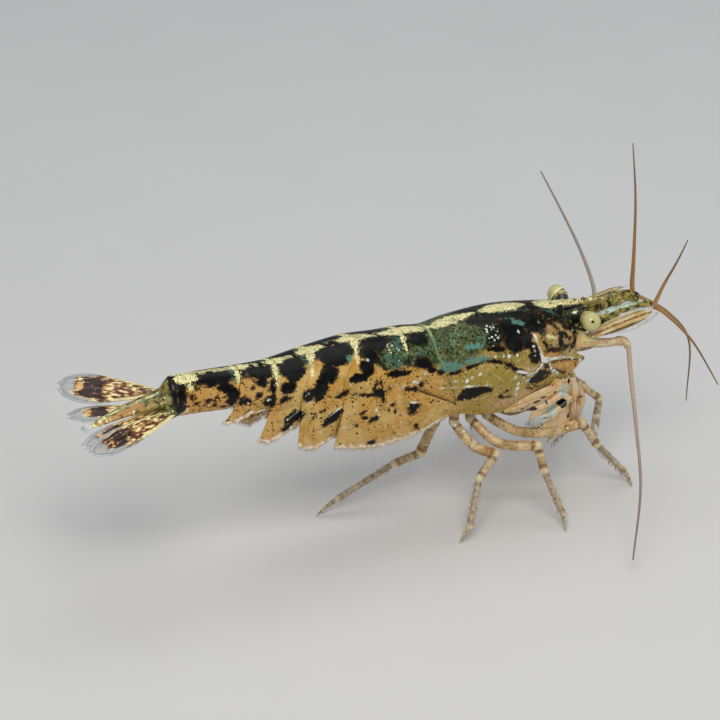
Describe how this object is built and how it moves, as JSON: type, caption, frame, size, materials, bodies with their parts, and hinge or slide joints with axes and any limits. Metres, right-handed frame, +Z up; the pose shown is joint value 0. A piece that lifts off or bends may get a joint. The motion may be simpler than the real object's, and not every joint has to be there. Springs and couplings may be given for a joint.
{
  "type": "shrimp",
  "caption": "Life-size still model of a freshwater dwarf shrimp standing on its walking legs, mottled black and cream, with long feelers and a spread tail fan.",
  "frame": {"origin": "on the floor under the middle of the model's box", "axes": "+X towards the head, +Y to the animal's left, +Z up"},
  "size_m": [0.0396, 0.0212, 0.0185],
  "materials": {
    "shell": "glossy chitin, black and green mottling on tan with cream bands",
    "fan": "thin glossy chitin, brown and orange with clear grey margins",
    "limb": "semi-clear tan chitin with brown bands and pale joints",
    "feeler": "fine ringed whip, tan to grey",
    "eye": "wet yellow-green with a small dark pupil"
  },
  "bodies": {
    "root": {"carapace": "shell", "pleon_1": "shell", "pleon_2": "shell", "pleon_3": "shell", "pleon_4": "shell", "pleon_5": "shell", "pleon_6": "shell", "telson": "fan", "uropod_exopod_right": "fan", "uropod_endopod_right": "fan", "uropod_endopod_left": "fan", "uropod_exopod_left": "fan", "eye_right": "eye", "eyestalk_right": "shell", "antennule_right": "shell", "antenna_right": "limb", "antennal_scale_right": "fan", "maxilliped_right": "limb", "cheliped_1_right": "limb", "cheliped_2_right": "limb", "eye_left": "eye", "eyestalk_left": "shell", "antennule_left": "shell", "antenna_left": "limb", "antennal_scale_left": "fan", "maxilliped_left": "limb", "cheliped_1_left": "limb", "cheliped_2_left": "limb", "antennule_whip_outer_right": "feeler", "antennule_whip_inner_right": "feeler", "antennule_whip_outer_left": "feeler", "antennule_whip_inner_left": "feeler", "antenna_whip_right": "feeler", "antenna_whip_left": "feeler", "mouthparts": "limb", "leg_3_right": "limb", "leg_4_right": "limb", "leg_5_right": "limb", "leg_3_left": "limb", "leg_4_left": "limb", "leg_5_left": "limb", "swimmeret_1_right": "limb", "swimmeret_1_left": "limb", "swimmeret_2_right": "limb", "swimmeret_2_left": "limb", "swimmeret_3_right": "limb", "swimmeret_3_left": "limb", "swimmeret_4_right": "limb", "swimmeret_4_left": "limb", "swimmeret_5_right": "limb", "swimmeret_5_left": "limb"}
  },
  "joints": []
}
